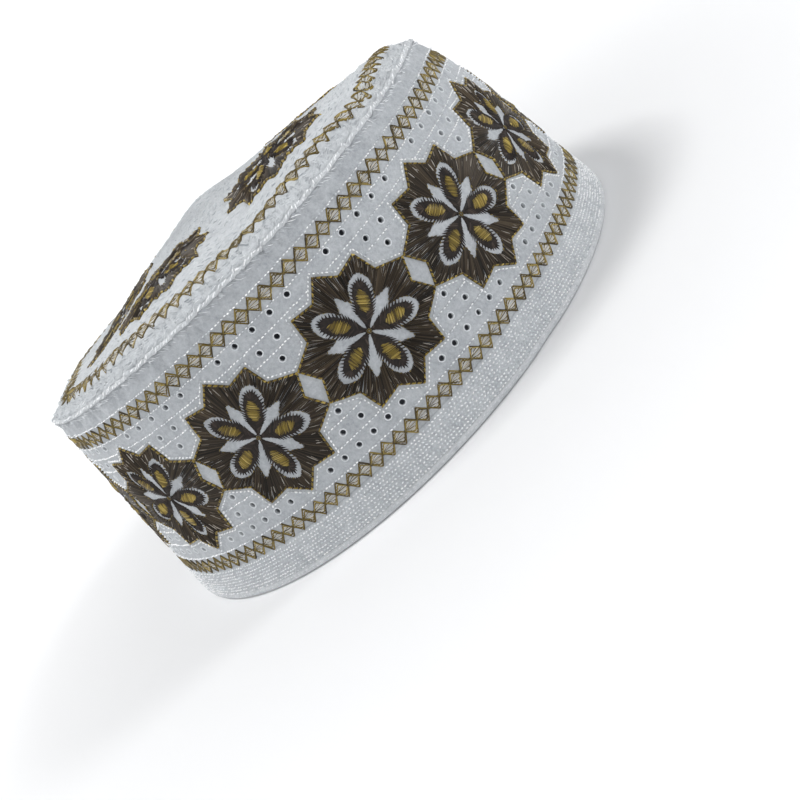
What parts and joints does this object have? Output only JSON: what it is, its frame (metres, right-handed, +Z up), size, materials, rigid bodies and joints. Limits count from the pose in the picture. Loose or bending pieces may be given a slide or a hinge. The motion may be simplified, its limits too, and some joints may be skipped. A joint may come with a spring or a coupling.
{
  "type": "embroidered prayer cap",
  "caption": "Round brimless prayer cap with a pierced embroidered side band, padded star-flower top, crown seam and stitched hem, open at the rim for a head.",
  "frame": {"origin": "centre of the rim, on the surface that the cap stands on", "axes": "+Z up along the cap's axis, -Y towards the front that the picture shows, +X to the wearer's left"},
  "size_m": [0.1838, 0.1844, 0.0843],
  "materials": {
    "white_cotton": "matt white cotton, stitched and padded, with dark brown and gold embroidery",
    "white_thread": "white cotton covered with close rows of slightly shiny white thread",
    "white_fold": "smooth folded white cotton edge"
  },
  "bodies": {
    "root": {"rim_fold": "white_fold", "hem_band": "white_thread", "side_band": "white_cotton", "crown_seam": "white_thread", "top_panel": "white_cotton"}
  },
  "joints": []
}
